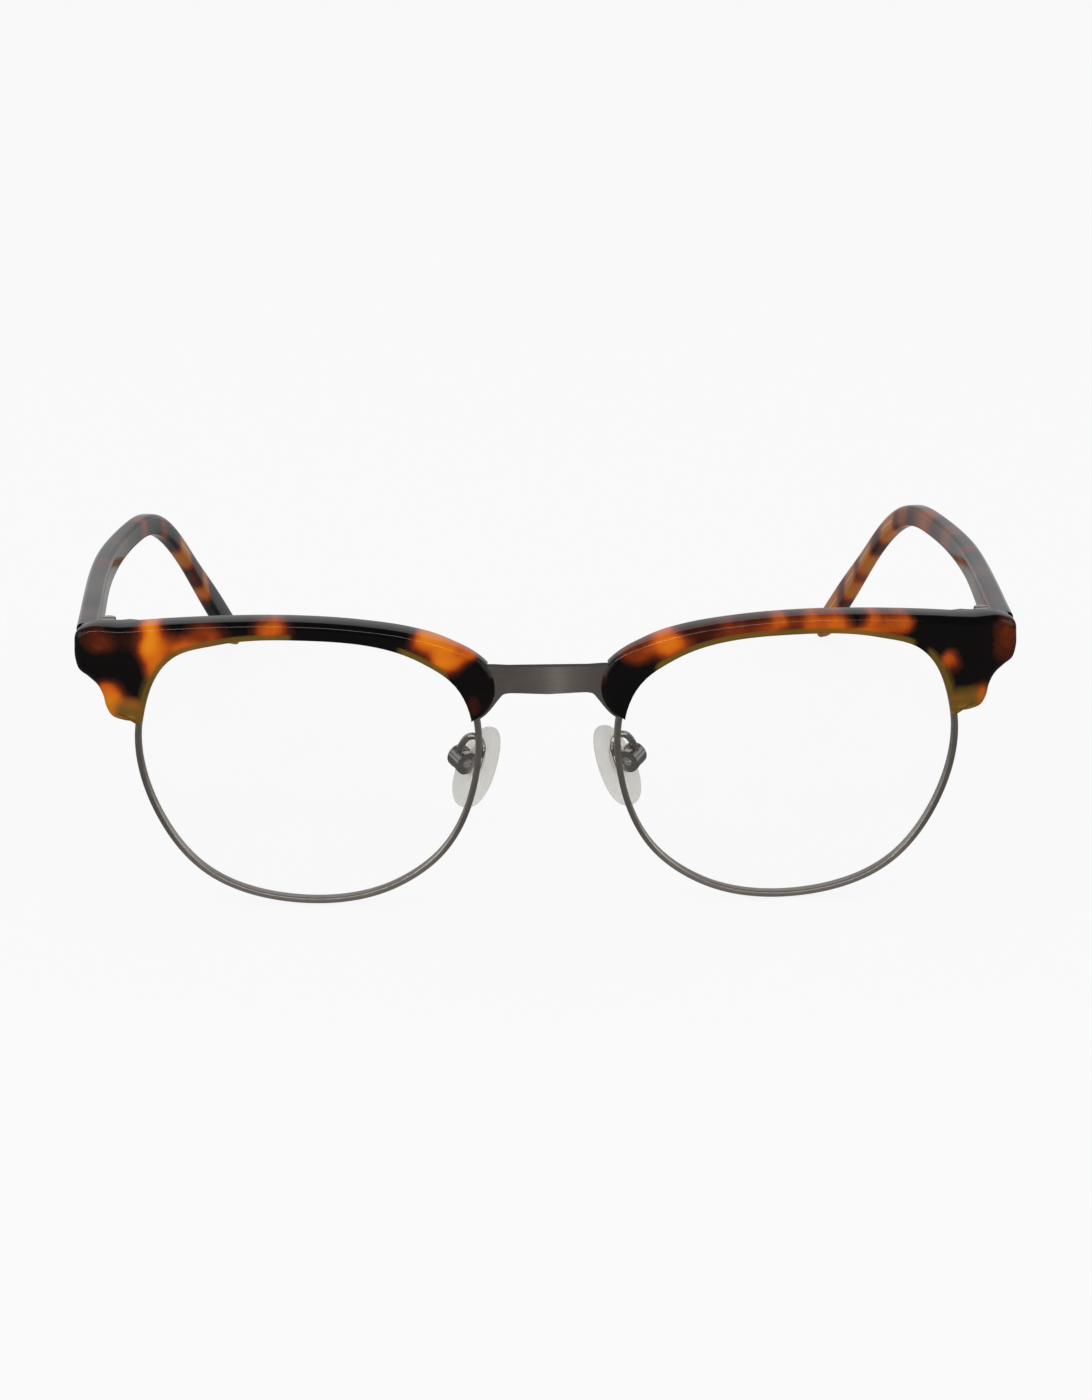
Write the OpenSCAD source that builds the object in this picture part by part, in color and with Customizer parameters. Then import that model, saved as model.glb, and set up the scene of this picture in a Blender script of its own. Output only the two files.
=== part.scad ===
// Browline glasses with open temples, standing on the two rims and the two temple tips.
// Left and right are the wearer's. The front faces -Y, so the wearer's left is +X.
// Each half of the front is drawn flat: x runs outwards from the middle of the nose,
// y runs back towards the face and z runs up, then front_half() tilts and turns it.

/* [Lens and rim] */
// Width of the lens opening, inside the metal rim
lens_w = 50; // [48:0.1:52]
// Height of the lens opening, inside the metal rim
lens_h = 42; // [40.4:0.1:43.8]
// Distance between the two lens openings over the nose
gap = 21.8; // [20.2:0.1:23.6]
// Radius of the sphere that the front surface follows
base_r = 150; // [130:5:220]
// Width of the metal rim, seen from the front
rim_w = 0.95; // [0.85:0.05:1.2]
// Depth of the metal rim, front to back
rim_d = 1.7; // [1.6:0.1:2.2]
// Thickness of the lens
lens_t = 1.5; // [1.2:0.1:1.6]

/* [Front] */
// Lean of the front, top edge forwards
tilt = 2.7; // [1.5:0.1:4]
// Turn of each half of the front, outer end backwards
wrap = 3.5; // [2:0.1:5]
// Thickness of the brow, front to back
brow_d = 4; // [3.8:0.1:4.4]
// Thickness of the brow lip that covers the rim
lip_t = 1.4; // [1.2:0.05:1.5]
// Height of the bridge plate
bridge_h = 4.2; // [3.8:0.1:4.6]
// Thickness of the bridge plate
bridge_t = 1.2; // [1:0.05:1.4]

/* [Temples] */
// Length along the temple, from the end of the front to the tip
temple_l = 145.4; // [140:0.2:150]
// Height of the temple at the hinge
temple_front_h = 5.7; // [5.4:0.1:6]
// Height of the temple at the ear bend
temple_bend_h = 3.6; // [3.2:0.1:4.2]
// Height of the paddle near the tip
temple_tip_h = 5.2; // [4.2:0.1:5.8]
// Thickness of the temple at the hinge
temple_front_t = 3.2; // [3.1:0.1:3.6]
// Thickness of the temple at the tip
temple_tip_t = 2.9; // [2.5:0.1:3.1]
// Diameter of the wire core, a square bar of this width
core_d = 1.3; // [1.1:0.1:1.4]

/* [Hinge] */
// Outer radius of the hinge barrels
barrel_r = 1.25; // [1.15:0.05:1.3]
// Height of each of the five barrels
barrel_h = 1; // [0.9:0.05:1.05]
// Diameter of the hinge screw
pin_d = 1.3; // [1.2:0.05:1.4]
// Clearance round the hinge screw and the pad screw, on the radius
play = 0.04; // [0.03:0.01:0.06]

/* [Nose pads] */
// Length of a nose pad
pad_l = 13.6; // [12:0.1:14.5]
// Width of a nose pad
pad_w = 7.4; // [6.5:0.1:8]
// Thickness of a nose pad
pad_t = 2.4; // [2.2:0.1:2.8]
// Lean of the pads seen from the front, lower ends apart
pad_lean = 22; // [17:1:24]
// Turn of the pads seen from above, rear edges apart
pad_turn = 32; // [26:1:36]
// Diameter of the pad arm wire
arm_d = 1.1; // [1:0.05:1.2]

/* [Hidden] */

$fn = 48;
eps = 0.01;
RIGHT = -1;
LEFT = 1;

// Shape points are millimetres from the lens centre on a lens of this size, and scale with it
ref_w = 50;
ref_h = 42;
mid_u = gap / 2 + lens_w / 2;
mid_v = rim_w + lens_h / 2;
function at(p) = [mid_u + p[0] * lens_w / ref_w, mid_v + p[1] * lens_h / ref_h];
lens_points = [[24.7, 7.05], [19.65, 17.65], [12.9, 19.95], [1.6, 20.95], [-17.25, 17.4], [-21.55, 14.4],
    [-23.9, -4.25], [-19.35, -13.4], [-12.5, -18.55], [0.7, -21.05], [16.05, -16.1], [22.3, -7.45]];
brow_points = [[-24.5, 8.0], [-25.8, 8.4], [-26.9, 9.5], [-27.8, 11.2], [-28.2, 13.1], [-27.9, 14.8],
    [-27.0, 16.2], [-25.0, 18.0], [-21.4, 19.8], [-15.3, 21.7], [-7.9, 22.9], [2.1, 23.5], [12.1, 23.2],
    [20.1, 22.5], [27.3, 21.6], [32.9, 21.1], [34.2, 20.4], [34.6, 18.2], [34.5, 16.2], [34.0, 14.8],
    [32.6, 13.8], [31.2, 12.6], [30.4, 11.1], [29.9, 9.2], [29.1, 8.0], [27.7, 7.5], [25.1, 7.4]];
curve_steps = 8;

// Smooth line through points: each stretch leaves and meets its points along a shared direction
function unit(v) = v / norm(v);
function heading(a, p, b) = unit((p - a) / norm(p - a) * norm(b - p) + (b - p) / norm(b - p) * norm(p - a));
function stretch(p, q, tp, tq, k) = let (d = norm(q - p))
    (2 * pow(k, 3) - 3 * pow(k, 2) + 1) * p + (pow(k, 3) - 2 * pow(k, 2) + k) * d * tp
    + (3 * pow(k, 2) - 2 * pow(k, 3)) * q + (pow(k, 3) - pow(k, 2)) * d * tq;
function closed_curve(pts) = let (n = len(pts),
    t = [for (i = [0 : n - 1]) heading(pts[(i + n - 1) % n], pts[i], pts[(i + 1) % n])])
    [for (i = [0 : n - 1], k = [0 : curve_steps - 1])
        stretch(pts[i], pts[(i + 1) % n], t[i], t[(i + 1) % n], k / curve_steps)];
function open_curve(pts, steps) = let (n = len(pts),
    t = [for (i = [0 : n - 1]) i == 0 ? unit(pts[1] - pts[0])
        : i == n - 1 ? unit(pts[n - 1] - pts[n - 2]) : heading(pts[i - 1], pts[i], pts[i + 1])])
    [for (i = [0 : n - 2], k = [0 : steps - 1])
        stretch(pts[i], pts[i + 1], t[i], t[i + 1], k / steps), pts[n - 1]];
// Closed line moved outwards by d; its points run anticlockwise
function grow(line, d) = let (n = len(line)) [for (i = [0 : n - 1])
    let (t = unit(line[(i + 1) % n] - line[(i + n - 1) % n])) line[i] + d * [t[1], -t[0]]];

opening = closed_curve([for (p = lens_points) at(p)]);
brow_outline = open_curve([for (i = [len(brow_points) - 1 : -1 : 0]) at(brow_points[i])], 5);

// The sphere that the front follows passes through this distance from the lens centre at y = 0
sag_zero_r = 21.5;
sphere_y = base_r - pow(sag_zero_r, 2) / (2 * base_r);

// Brow layers: its front, its back, and how far the lip reaches inside the rim
rebate_gap = 0.03;
brow_front = -rim_d / 2 - rebate_gap - lip_t;
brow_back = brow_front + brow_d;
lip_over = 0.15;

// End of the front: the back plane of the thick end block, and the hinge axis behind it
end_u = at([34.6, 0])[0];
block_u = end_u - 8.8;
block_v = at([0, 12.6])[1];
block_back = 4.8;
hinge_u = end_u - 4.6;
hinge_y = block_back + barrel_r + 0.25;
hinge_v = at([0, 17.85])[1];
butt_gap = 0.3;
barrel_pitch = barrel_h + 0.1;
plate_t = 1;
plate_u = end_u - 8.6;
plate_h = 4 * barrel_pitch + barrel_h + 0.1;
plate_reach = 0.9;
foot_lap = 0.5;
plate_screw_u = plate_u + 1.6;
plate_screw_v = 1.3;
plate_screw_d = 1.2;

// Closing block: two halves on the cut ends of the rim, drawn together by a screw
cut_v = at([0, 10.6])[1];
cut_h = 0.3;
block_h = 2.1;
block_w = 2.5;
block_d = 2.2;
rim_cut_u = at([24.3, 0])[0] + rim_w;
block_y = 1.6;
rim_screw_u = rim_cut_u + block_w / 2;
rim_screw_d = 1.2;
tab_w = 1.8;

// Bridge: middle plate, then wings that turn back to the rims
bridge_v = mid_v + lens_h * 0.337;
bridge_half = 6;
bridge_y = 0;
wing_u = gap / 2 + 1.6;
wing_back = 1.15;
bridge_low_points = [[0, -0.1], [2.4, 0], [4.6, 0.1], [5.9, 0.1], [6.6, -0.1], [7.3, -0.9],
    [8.3, -2.3], [9.3, -3.5], [10.4, -4.4]];
bridge_screw_u = 9.2;
bridge_screw_y = bridge_y + wing_back * (bridge_screw_u - bridge_half) / (wing_u - bridge_half)
    + bridge_t - 0.2;
bridge_screw_l = 1.5;

// Nose pad: its middle in the tilted frame of the front, and the screw that it rocks on
pad_u = 10.6;
pad_y = 8.6;
pad_v = mid_v - 2.9;
pad_rim = 0.45;
lug_out = pad_t / 2 + 2;
lug_up = 1;
lug_t = 1.1;
lug_r = 1.1;
insert_t = 0.8;
pad_screw_d = 1;
box_r = 1.85;
box_t = 2.9;
box_slot = 1.4;
arm_points = [[10.8, 1.4, -0.8], [10.2, 2.6, 0.9], [9.8, 3.2, 2.4], [10.4, 3.9, 3.7], [11.6, 4.7, 3.6],
    [12.6, 5.5, 2.4], [13.2, 6.2, 0.6], [13.5, 6.8, -0.6]];

// Temple line: straight from the hinge, then down behind the ear, and bowed in towards the head
temple_steps = 44;
temple_u = end_u - 2.1;
temple_y = 4.8;
temple_rise = 0.16;
temple_z = hinge_v * cos(tilt) + (hinge_u * sin(wrap) + hinge_y * cos(wrap)) * sin(tilt) + temple_rise;
// A higher hinge needs a steeper temple, so that its tip still reaches the ground
slope_front = 4.295 + (temple_z - 40.6) * 0.45;
slope_tip = 49.8;
bend_from = 84.6;
bend_to = 120.3;
splay_front = -2.75;
splay_tip = 15.4;
bow_from = 30.7;
bow_to = 123.4;
core_end = 0.93;
leaf_l = 9.5;
leaf_t = 0.8;
leaf_h = 4.2;
leaf_start = 0.7;
root_l = 2.6;
rivet_d = 0.9;
rivet_c = 1.4;
rivet_in = 1.5;

// Middle of the whole depth, and the height that puts the rims on the ground
mid_depth = 66.25;
lift = 0.011;

function ease(k) = let (c = min(1, max(0, k))) c * c * (3 - 2 * c);
function slope(s) = slope_front + (slope_tip - slope_front) * ease((s - bend_from) / (bend_to - bend_from));
function splay(s) = splay_front + (splay_tip - splay_front) * ease((s - bow_from) / (bow_to - bow_from));
step_l = temple_l / temple_steps;
function advance(s) = let (m = s + step_l / 2)
    step_l * [-sin(splay(m)), cos(splay(m)) * cos(slope(m)), -cos(splay(m)) * sin(slope(m))];
temple_line = [for (i = 0, p = [temple_u, temple_y, temple_z]; i <= temple_steps;
    p = p + advance(i * step_l), i = i + 1) p];
function temple_h(s) = lookup(s / temple_l, [[0, temple_front_h], [0.12, temple_front_h - 0.5],
    [0.35, temple_bend_h + 0.5], [0.55, temple_bend_h], [0.8, temple_bend_h],
    [0.92, temple_tip_h], [0.955, temple_tip_h], [0.985, temple_tip_h * 0.8], [1, temple_tip_h * 0.35]]);
function temple_t(s) = lookup(s / temple_l, [[0, temple_front_t], [0.4, temple_front_t],
    [0.75, temple_tip_t], [1, temple_tip_t]]);

// Place of the hinge axis in the untilted frame, and how far outside it the temple's inner face lies
hinge_back = (hinge_u * sin(wrap) + hinge_y * cos(wrap)) * cos(tilt) - hinge_v * sin(tilt);
hinge_x = hinge_u * cos(wrap) - hinge_y * sin(wrap);
inner_face = (temple_u - temple_front_t / 2 - (hinge_back - temple_y) * tan(splay_front) - hinge_x)
    * cos(splay_front);
leaf_slope = slope_front + tilt;

module front() {
    translate([0, -mid_depth, lift]) rotate([tilt, 0, 0]) children();
}
module front_half(side) {
    front() mirror([side == RIGHT ? 1 : 0, 0, 0]) rotate([0, 0, wrap]) children();
}
module temple_side(side) {
    translate([0, -mid_depth, 0]) mirror([side == RIGHT ? 1 : 0, 0, 0]) children();
}
// Frame of the hinge: the axis is z, the open temple runs back along y
module at_hinge(side) {
    front_half(side) translate([hinge_u, hinge_y, hinge_v]) rotate([0, 0, splay_front - wrap]) children();
}
// Frame of a nose pad: x points away from the nose, z up along the pad
module at_pad(side) {
    front() mirror([side == RIGHT ? 1 : 0, 0, 0]) translate([pad_u, pad_y, pad_v])
        rotate([0, -pad_lean, 0]) rotate([0, 0, -pad_turn]) children();
}
// Flat shape in u and v, given depth from y0 back to y1
module slab(y0, y1) {
    translate([0, y1, 0]) rotate([90, 0, 0]) linear_extrude(y1 - y0) children();
}
// All that lies behind the front's sphere moved back by y0
module behind(y0) {
    translate([mid_u, sphere_y, mid_v]) sphere(base_r - y0, $fn = 240);
}
// Layer of the front's sphere, from y0 back to y1
module layer(y0, y1) {
    difference() {
        behind(y0);
        behind(y1);
    }
}
module cyl_v(d, h, u, y, v) {
    translate([u, y, v]) cylinder(d = d, h = h);
}
module cyl_y(d, h, u, y, v) {
    translate([u, y, v]) rotate([-90, 0, 0]) cylinder(d = d, h = h);
}
module box(u0, u1, y0, y1, v0, v1) {
    translate([u0, y0, v0]) cube([u1 - u0, y1 - y0, v1 - v0]);
}

// Metal chassis: a grooved ring round each lens, cut through at its closing block
module rim_ring() {
    intersection() {
        slab(-8, 12) polygon(grow(opening, rim_w));
        layer(-rim_d / 2, rim_d / 2);
    }
}
module rim(side) color("#5d5754") front_half(side) difference() {
    rim_ring();
    slab(-9, 13) polygon(opening);
    intersection() {
        slab(-8, 12) polygon(grow(opening, 0.55));
        layer(-0.45, 0.45);
    }
    box(rim_cut_u - 4, rim_cut_u + 4, -4, 6, cut_v - cut_h / 2, cut_v + cut_h / 2);
}
module closing_block(side, upper) color("#5d5754") front_half(side) difference() {
    z0 = upper ? cut_v + cut_h / 2 : cut_v - cut_h / 2 - block_h;
    box(rim_cut_u - 1, rim_cut_u + block_w, block_y - block_d / 2, block_y + block_d / 2, z0, z0 + block_h);
    slab(-9, 13) polygon(grow(opening, rim_w));
    cyl_v(rim_screw_d + 0.02, 9, rim_screw_u, block_y, cut_v - 4.5);
    if (!upper) cyl_v(rim_screw_d + 0.72, 0.6, rim_screw_u, block_y, z0 - eps);
}
module rim_screw(side) color("#8f8a86") front_half(side) difference() {
    low = cut_v - cut_h / 2 - block_h;
    union() {
        cyl_v(rim_screw_d, 2 * block_h + cut_h - 0.2, rim_screw_u, block_y, low + 0.1);
        cyl_v(rim_screw_d + 0.7, 0.5, rim_screw_u, block_y, low + 0.05);
    }
    box(rim_screw_u - 2, rim_screw_u + 2, block_y - 0.15, block_y + 0.15, low, low + 0.3);
}

module bridge_plan() {
    polygon([[-wing_u, bridge_y + wing_back], [-bridge_half, bridge_y], [bridge_half, bridge_y],
        [wing_u, bridge_y + wing_back], [wing_u, bridge_y + wing_back + bridge_t],
        [bridge_half, bridge_y + bridge_t], [-bridge_half, bridge_y + bridge_t],
        [-wing_u, bridge_y + wing_back + bridge_t]]);
}
module bridge_face() {
    low = open_curve([for (p = bridge_low_points) [p[0], bridge_v - bridge_h / 2 + p[1]]], 4);
    n = len(low);
    top = bridge_v + bridge_h / 2;
    polygon(concat([for (i = [n - 1 : -1 : 1]) [-low[i][0], low[i][1]]], low,
        [[wing_u + 1, low[n - 1][1]], [wing_u + 1, top - 0.3], [8, top], [-8, top],
        [-wing_u - 1, top - 0.3], [-wing_u - 1, low[n - 1][1]]]));
}
module bridge() color("#6b6461") difference() {
    front() difference() {
        intersection() {
            translate([0, 0, bridge_v - 12]) linear_extrude(24) bridge_plan();
            slab(-2, 5) bridge_face();
        }
        for (s = [RIGHT, LEFT]) {
            cyl_y(1.22, 6, s * bridge_screw_u, -2, bridge_v);
            cyl_y(2.1, 3, s * bridge_screw_u, bridge_screw_y, bridge_v);
        }
    }
    for (side = [RIGHT, LEFT]) front_half(side) slab(-9, 13) polygon(grow(opening, rim_w));
}
// One screw on each side goes forwards through the wing into the nasal end of the brow
module bridge_screws() color("#8f8a86") front() for (s = [RIGHT, LEFT]) difference() {
    union() {
        cyl_y(1.2, bridge_screw_l + 0.1, s * bridge_screw_u, bridge_screw_y - bridge_screw_l, bridge_v);
        cyl_y(2, 0.5, s * bridge_screw_u, bridge_screw_y, bridge_v);
    }
    box(s * bridge_screw_u - 0.15, s * bridge_screw_u + 0.15, bridge_screw_y + 0.3, bridge_screw_y + 1,
        bridge_v - 1.5, bridge_v + 1.5);
}

// Clear lens: its thin edge sits in the groove of the rim
module lens(side) color("#dfe6ea", 0.3) front_half(side) {
    intersection() {
        slab(-8, 12) polygon(grow(opening, -0.05));
        layer(-lens_t / 2, lens_t / 2);
    }
    intersection() {
        slab(-8, 12) polygon(grow(opening, 0.5));
        layer(-0.4, 0.4);
    }
}

// Brow: curved bar with a thick end block, rebated from behind for the rim, the closing block,
// the end plate and the wing of the bridge
module brow_body() {
    intersection() {
        slab(-8, block_back) polygon(brow_outline);
        layer(brow_front, brow_back);
    }
    intersection() {
        slab(-8, block_back) polygon(brow_outline);
        behind(brow_front);
        box(block_u, block_u + 20, -6, 8, block_v, block_v + 30);
    }
}
module brow(side) color("#3a1c10") difference() {
    front_half(side) difference() {
        brow_body();
        slab(-9, 13) polygon(grow(opening, -lip_over));
        intersection() {
            slab(-8, 14) polygon(grow(opening, rim_w + rebate_gap));
            behind(-rim_d / 2 - rebate_gap);
        }
        box(rim_cut_u - 1, rim_cut_u + block_w + 0.05, block_y - block_d / 2 - 0.05, 9,
            cut_v - cut_h / 2 - block_h - 0.05, cut_v + cut_h / 2 + block_h + 0.05);
        box(plate_u - 0.03, hinge_u + plate_reach + 0.03, block_back - plate_t - 0.02, 9,
            hinge_v - plate_h / 2 - 0.03, hinge_v + plate_h / 2 + 0.03);
        box(plate_u - 0.03, plate_u + tab_w + 0.03, block_y - block_d / 2 - 0.05, 9,
            cut_v + cut_h / 2 + block_h, hinge_v - plate_h / 2 + foot_lap + 0.03);
        for (s = [-1, 1]) cyl_y(plate_screw_d + 0.02, 5, plate_screw_u, 1.6, hinge_v + s * plate_screw_v);
    }
    front() {
        translate([0, 0, bridge_v - 12]) linear_extrude(12 + bridge_h / 2 + 0.05)
            polygon([[-2, bridge_y - 0.05], [bridge_half, bridge_y - 0.05], [wing_u, bridge_y + wing_back - 0.05],
                [wing_u, 9], [-2, 9]] * [[side, 0], [0, 1]]);
        cyl_y(1.22, 6, side * bridge_screw_u, bridge_screw_y - bridge_screw_l - 0.05, bridge_v);
    }
}

// End plate: the front leaf of the hinge, sunk into the back of the brow, with three barrels,
// and a foot that stands on the upper closing block
module front_barrels() {
    for (k = [-2, 0, 2]) translate([0, 0, hinge_v + k * barrel_pitch - barrel_h / 2]) {
        translate([hinge_u, hinge_y, 0]) cylinder(r = barrel_r, h = barrel_h);
        box(hinge_u - barrel_r, hinge_u + plate_reach, block_back - 0.5, hinge_y, 0, barrel_h);
    }
}
module end_plate(side) color("#5d5754") front_half(side) difference() {
    union() {
        box(plate_u, hinge_u + plate_reach, block_back - plate_t, block_back,
            hinge_v - plate_h / 2, hinge_v + plate_h / 2);
        box(plate_u, plate_u + tab_w, block_y - block_d / 2, block_back,
            cut_v + cut_h / 2 + block_h, hinge_v - plate_h / 2 + foot_lap);
        front_barrels();
    }
    cyl_v(pin_d + 0.02, 20, hinge_u, hinge_y, hinge_v - 10);
    for (s = [-1, 1]) {
        cyl_y(plate_screw_d + 0.02, 8, plate_screw_u, 0, hinge_v + s * plate_screw_v);
        cyl_y(plate_screw_d + 0.72, 2, plate_screw_u, block_back - 0.5, hinge_v + s * plate_screw_v);
    }
}
module end_plate_screws() color("#8f8a86") for (side = [RIGHT, LEFT], s = [-1, 1]) front_half(side)
    difference() {
        v = hinge_v + s * plate_screw_v;
        union() {
            cyl_y(plate_screw_d, 2.7, plate_screw_u, block_back - 3.1, v);
            cyl_y(plate_screw_d + 0.7, 0.4, plate_screw_u, block_back - 0.48, v);
        }
        box(plate_screw_u - 0.15, plate_screw_u + 0.15, block_back - 0.3, block_back + 1, v - 1.5, v + 1.5);
    }
module hinge_screw(side) color("#8f8a86") front_half(side) difference() {
    half = 2.5 * barrel_h + 0.2;
    union() {
        cyl_v(pin_d, 2 * half, hinge_u, hinge_y, hinge_v - half);
        cyl_v(2 * barrel_r - 0.2, 0.6, hinge_u, hinge_y, hinge_v + half);
    }
    box(hinge_u - 2, hinge_u + 2, hinge_y - 0.2, hinge_y + 0.2, hinge_v + half + 0.3, hinge_v + half + 2);
}

// Nose pad: clear oval with softened edges, and an insert whose lug hangs on the pad screw
function oval(l, w) = [for (i = [0 : 35]) let (a = i * 10)
    [w / 2 * cos(a) * (1 - 0.14 * sin(a)), l / 2 * sin(a)]];
module pad_slice(x0, x1, inset) {
    translate([x0, 0, 0]) rotate([90, 0, 90]) linear_extrude(x1 - x0)
        polygon(oval(pad_l - 2 * inset, pad_w - 2 * inset));
}
module nose_pad(side) color("#e8e6e0", 0.5) at_pad(side) difference() {
    union() {
        pad_slice(-pad_t / 2, -pad_t / 2 + pad_rim, pad_rim);
        pad_slice(-pad_t / 2 + pad_rim, pad_t / 2 - pad_rim, 0);
        pad_slice(pad_t / 2 - pad_rim, pad_t / 2, pad_rim);
    }
    translate([pad_t / 2 - insert_t - 0.02, 0, lug_up]) rotate([90, 0, 90])
        linear_extrude(4) polygon(oval(5.04, 3.64));
}
module pad_insert(side) color("#d9d7d0") at_pad(side) difference() {
    union() {
        translate([pad_t / 2 - insert_t, 0, lug_up]) rotate([90, 0, 90]) linear_extrude(insert_t)
            polygon(oval(5, 3.6));
        box(pad_t / 2 - eps, lug_out, -lug_t / 2, lug_t / 2, lug_up - lug_r, lug_up + lug_r);
        translate([lug_out, -lug_t / 2, lug_up]) rotate([-90, 0, 0]) cylinder(r = lug_r, h = lug_t);
    }
    translate([lug_out, -4, lug_up]) rotate([-90, 0, 0]) cylinder(d = pad_screw_d + 2 * play, h = 8);
}
module pad_screw(side) color("#b9b6b0") at_pad(side) difference() {
    union() {
        translate([lug_out, -box_t / 2 + 0.1, lug_up]) rotate([-90, 0, 0])
            cylinder(d = pad_screw_d, h = box_t - 0.2);
        translate([lug_out, -box_t / 2 + 0.05, lug_up]) rotate([-90, 0, 0])
            cylinder(d = pad_screw_d + 0.5, h = 0.4);
    }
    box(lug_out - 1, lug_out + 1, -box_t / 2, -box_t / 2 + 0.25, lug_up - 0.12, lug_up + 0.12);
}
// Round wire swept along points, with its two ends flat
module wire(pts, d, sides) {
    n = len(pts);
    rings = [for (i = [0 : n - 1])
        let (t = unit(pts[min(n - 1, i + 1)] - pts[max(0, i - 1)]), a = unit(cross(t, [0.3, -1, 0.2])), b = cross(t, a))
        for (k = [0 : sides - 1]) pts[i] + d / 2 * (cos(k * 360 / sides) * a + sin(k * 360 / sides) * b)];
    polyhedron(rings, concat(
        [[for (k = [0 : sides - 1]) k], [for (k = [sides - 1 : -1 : 0]) (n - 1) * sides + k]],
        [for (i = [0 : n - 2], k = [0 : sides - 1]) let (m = (k + 1) % sides)
            [i * sides + k, (i + 1) * sides + k, (i + 1) * sides + m, i * sides + m]]));
}
// Pad arm: wire that rises from the back of the rim, loops over and ends in a slotted box
module pad_arm(side) color("#5d5754") difference() {
    union() {
        front() mirror([side == RIGHT ? 1 : 0, 0, 0])
            wire(open_curve([for (p = arm_points) [p[0], p[1], p[2] + mid_v]], 3), arm_d, 12);
        at_pad(side) intersection() {
            translate([lug_out, -box_t / 2, lug_up]) rotate([-90, 0, 0]) cylinder(r = box_r, h = box_t);
            box(lug_out - 1.3, lug_out + 4, -3, 3, -5, 8);
        }
    }
    front_half(side) rim_ring();
    at_pad(side) {
        box(-5, lug_out + lug_r + 0.2, -box_slot / 2, box_slot / 2, lug_up - 4, lug_up + 4);
        translate([lug_out, -4, lug_up]) rotate([-90, 0, 0]) cylinder(d = pad_screw_d + 0.02, h = 8);
        translate([lug_out, -box_t / 2 - 1, lug_up]) rotate([-90, 0, 0])
            cylinder(d = pad_screw_d + 0.52, h = 1.47);
    }
}

// Temple: the side view and the plan view of its line, each with its own width, cut together
module side_view(widths) {
    n = len(widths);
    rotate([90, 0, 90]) linear_extrude(120) polygon(concat(
        [for (i = [0 : n - 1]) let (p = temple_line[i], a = slope(i * step_l))
            [p[1] - widths[i] / 2 * sin(a), p[2] - widths[i] / 2 * cos(a)]],
        [for (i = [n - 1 : -1 : 0]) let (p = temple_line[i], a = slope(i * step_l))
            [p[1] + widths[i] / 2 * sin(a), p[2] + widths[i] / 2 * cos(a)]]));
}
module plan_view(widths) {
    n = len(widths);
    translate([0, 0, -20]) linear_extrude(90) polygon(concat(
        [for (i = [0 : n - 1]) let (p = temple_line[i], d = advance((i - 0.5) * step_l), t = unit([d[0], d[1]]))
            [p[0] + widths[i] / 2 * t[1], p[1] - widths[i] / 2 * t[0]]],
        [for (i = [n - 1 : -1 : 0]) let (p = temple_line[i], d = advance((i - 0.5) * step_l), t = unit([d[0], d[1]]))
            [p[0] - widths[i] / 2 * t[1], p[1] + widths[i] / 2 * t[0]]]));
}
module core(w) {
    count = floor(temple_steps * core_end);
    intersection() {
        side_view([for (i = [0 : count]) w]);
        plan_view([for (i = [0 : count]) w]);
    }
}
// What lies in front of the temple's butt face
module before_butt(side, clear) {
    front_half(side) box(hinge_u - 15, hinge_u + 20, -20, block_back + clear, -10, 80);
}
module leaf_shape(extra) {
    drop = leaf_l * tan(leaf_slope);
    translate([inner_face - extra, 0, 0]) rotate([90, 0, 90]) linear_extrude(leaf_t + 2 * extra) polygon([
        [leaf_start - extra, -leaf_h / 2 - extra], [leaf_l + extra, -leaf_h / 2 - drop - extra],
        [leaf_l + extra, leaf_h / 2 - drop + extra], [leaf_start - extra, leaf_h / 2 + extra]]);
}
rivet_places = [[3.8, 1], [3.8, -1], [7.8, 1], [7.8, -1]];
module rivet_pins(d, depth) {
    for (p = rivet_places) translate([inner_face - eps, p[0], p[1] * rivet_c - p[0] * tan(leaf_slope)])
        rotate([0, 90, 0]) cylinder(d = d, h = depth);
}
module temple(side) color("#2c1710") difference() {
    temple_side(side) difference() {
        intersection() {
            side_view([for (i = [0 : temple_steps]) temple_h(i * step_l)]);
            plan_view([for (i = [0 : temple_steps]) temple_t(i * step_l)]);
        }
        core(core_d + 0.04);
    }
    before_butt(side, butt_gap);
    at_hinge(side) {
        leaf_shape(0.02);
        rivet_pins(rivet_d + 0.02, leaf_t + rivet_in + 0.1);
    }
}
module core_wire(side) color("#b7a26a") difference() {
    temple_side(side) core(core_d);
    before_butt(side, butt_gap);
}
module temple_hinge(side) color("#5d5754") at_hinge(side) difference() {
    union() {
        leaf_shape(0);
        for (k = [-1, 1]) translate([0, 0, k * barrel_pitch - barrel_h / 2]) {
            cylinder(r = barrel_r, h = barrel_h);
            box(0, inner_face - 0.05, 0, root_l, 0, barrel_h);
            box(0, inner_face + 0.1, leaf_start, root_l, 0, barrel_h);
        }
    }
    translate([0, 0, -10]) cylinder(d = pin_d + 2 * play, h = 20);
    rivet_pins(rivet_d + 0.02, 4);
}
module temple_rivets(side) color("#8f8a86") at_hinge(side) rivet_pins(rivet_d, leaf_t + rivet_in);

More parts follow.
